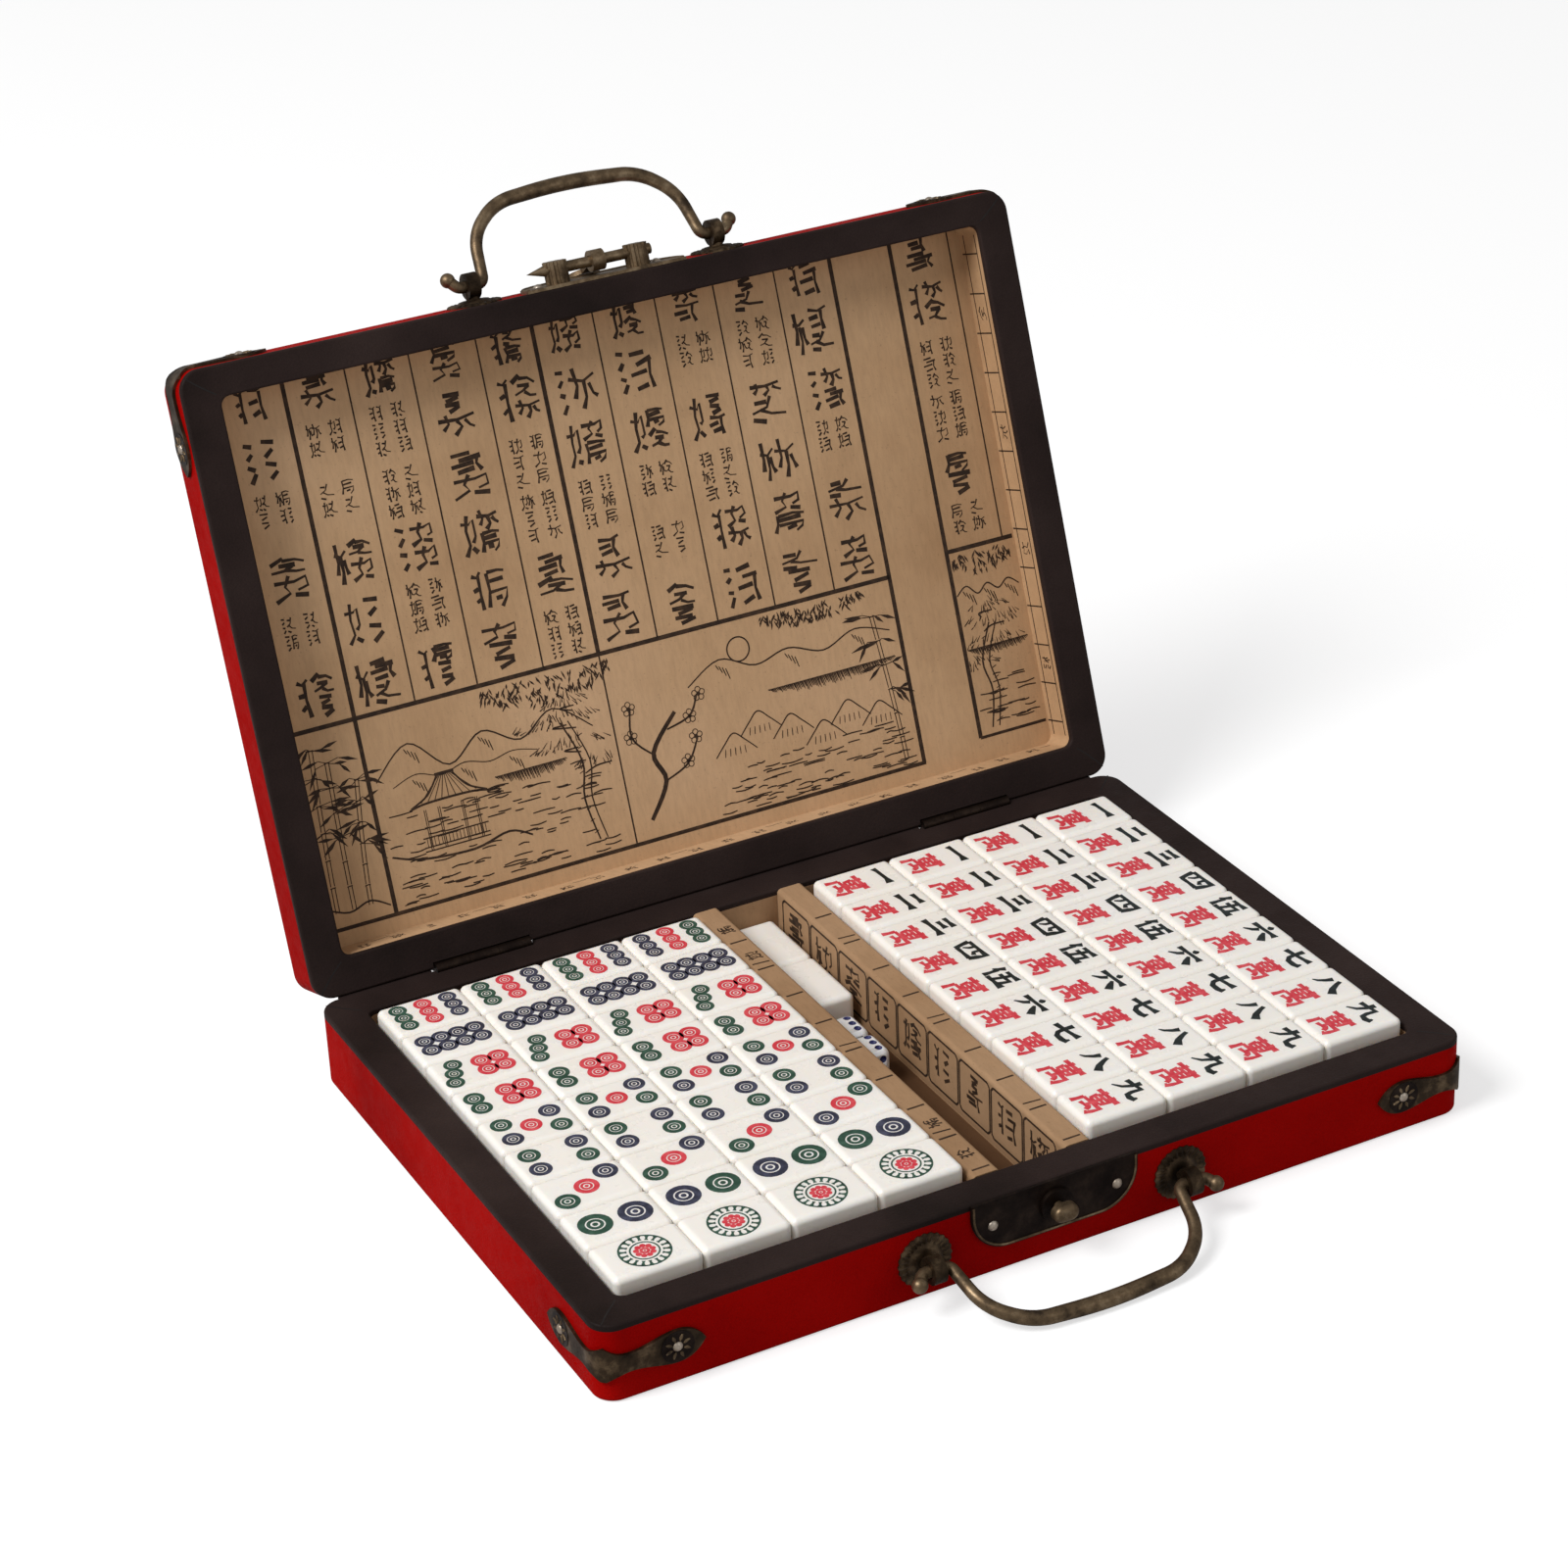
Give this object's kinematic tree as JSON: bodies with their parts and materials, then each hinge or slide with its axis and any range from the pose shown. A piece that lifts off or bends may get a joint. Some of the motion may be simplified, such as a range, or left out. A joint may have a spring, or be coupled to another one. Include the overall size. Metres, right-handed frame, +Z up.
{
  "type": "mahjong case",
  "caption": "Red book-style mahjong case with black rims, printed paper lining, tiles, dice and aged bronze handles, latch and corner brackets.",
  "frame": {"origin": "middle of the flat underside of the base tray, so the case stands on z = 0", "axes": "+X to the right along the hinge, +Y from the handle front to the hinge at the rear, +Z up"},
  "size_m": [0.2332, 0.2637, 0.1899],
  "materials": {
    "red_leatherette": "fine-grained glossy leatherette",
    "black_leatherette": "fine-grained satin leatherette",
    "printed_paper": "matt brown paper with ruled brush marks",
    "white_tile": "polished",
    "white_die": "polished",
    "aged_bronze": "dark patina with rubbed edges",
    "bright_nail": "worn bright"
  },
  "bodies": {
    "base": {"base_shell": "red_leatherette", "base_rim": "black_leatherette", "base_lining": "printed_paper", "left_divider": "printed_paper", "right_divider": "printed_paper", "base_corner_left": "aged_bronze", "base_corner_right": "aged_bronze", "base_corner_nails": "bright_nail", "base_handle_rosettes": "aged_bronze", "base_handle_posts": "aged_bronze", "base_latch_plate": "aged_bronze", "base_latch_nails": "bright_nail", "hinge_base_leaves": "aged_bronze", "hinge_base_nails": "bright_nail", "hinge_pins": "aged_bronze"},
    "lid": {"lid_shell": "red_leatherette", "lid_rim": "black_leatherette", "lid_lining": "printed_paper", "lid_corner_left": "aged_bronze", "lid_corner_right": "aged_bronze", "lid_corner_nails": "bright_nail", "lid_handle_rosettes": "aged_bronze", "lid_handle_posts": "aged_bronze", "lid_latch_plate": "aged_bronze", "lid_latch_nails": "bright_nail", "latch_rod": "aged_bronze", "hinge_lid_leaves": "aged_bronze", "hinge_lid_nails": "bright_nail"},
    "base_handle": {"base_handle_bail": "aged_bronze"},
    "lid_handle": {"lid_handle_bail": "aged_bronze"},
    "hasp": {"hasp": "aged_bronze"},
    "turn_knob": {"turn_knob": "aged_bronze"},
    "left_lower_layer": {"lower_tiles_left": "white_tile"},
    "right_lower_layer": {"lower_tiles_right": "white_tile"},
    "left_upper_layer": {"dot_tiles_1": "white_tile", "dot_tiles_2": "white_tile", "dot_tiles_3": "white_tile", "dot_tiles_4": "white_tile", "dot_tiles_5": "white_tile", "dot_tiles_6": "white_tile", "dot_tiles_7": "white_tile", "dot_tiles_8": "white_tile", "dot_tiles_9": "white_tile"},
    "right_upper_layer": {"character_tiles_1": "white_tile", "character_tiles_2": "white_tile", "character_tiles_3": "white_tile", "character_tiles_4": "white_tile", "character_tiles_5": "white_tile", "character_tiles_6": "white_tile", "character_tiles_7": "white_tile", "character_tiles_8": "white_tile", "character_tiles_9": "white_tile"},
    "spare_tile_rear": {"spare_tile_rear": "white_tile"},
    "spare_tile_front": {"spare_tile_front": "white_tile"},
    "die_rear": {"die_rear": "white_die"},
    "die_front": {"die_front": "white_die"}
  },
  "joints": [
    {"name": "lid_hinge", "type": "hinge", "parent": "base", "child": "lid", "pos_m": [0, 0.07998, 0.02055], "axis": [-1, 0, 0], "range_deg": [-109, 0]},
    {"name": "lid_handle_swing", "type": "hinge", "parent": "lid", "child": "lid_handle", "pos_m": [0, 0.13999, 0.17244], "axis": [-1, 0, 0], "range_deg": [-95, 80]},
    {"name": "base_handle_swing", "type": "hinge", "parent": "base", "child": "base_handle", "pos_m": [0, -0.08468, 0.01025], "axis": [-1, 0, 0], "range_deg": [-68, 121]},
    {"name": "hasp_swing", "type": "hinge", "parent": "lid", "child": "hasp", "pos_m": [0, 0.13887, 0.1724], "axis": [-1, 0, 0], "range_deg": [-200, 0]},
    {"name": "knob_turn", "type": "hinge", "parent": "base", "child": "turn_knob", "pos_m": [0, -0.07988, 0.0139], "axis": [0, -1, 0], "range_deg": [-90, 0]},
    {"name": "left_lower_lift", "type": "slide", "parent": "base", "child": "left_lower_layer", "axis": [0, 0, 1], "range_m": [0, 0.03]},
    {"name": "right_lower_lift", "type": "slide", "parent": "base", "child": "right_lower_layer", "axis": [0, 0, 1], "range_m": [0, 0.03]},
    {"name": "left_upper_lift", "type": "slide", "parent": "left_lower_layer", "child": "left_upper_layer", "axis": [0, 0, 1], "range_m": [0, 0.03]},
    {"name": "right_upper_lift", "type": "slide", "parent": "right_lower_layer", "child": "right_upper_layer", "axis": [0, 0, 1], "range_m": [0, 0.03]},
    {"name": "spare_tile_rear_lift", "type": "slide", "parent": "base", "child": "spare_tile_rear", "axis": [0, 0, 1], "range_m": [0, 0.03]},
    {"name": "spare_tile_front_lift", "type": "slide", "parent": "base", "child": "spare_tile_front", "axis": [0, 0, 1], "range_m": [0, 0.03]},
    {"name": "die_rear_lift", "type": "slide", "parent": "base", "child": "die_rear", "axis": [0, 0, 1], "range_m": [0, 0.03]},
    {"name": "die_front_lift", "type": "slide", "parent": "base", "child": "die_front", "axis": [0, 0, 1], "range_m": [0, 0.03]}
  ]
}
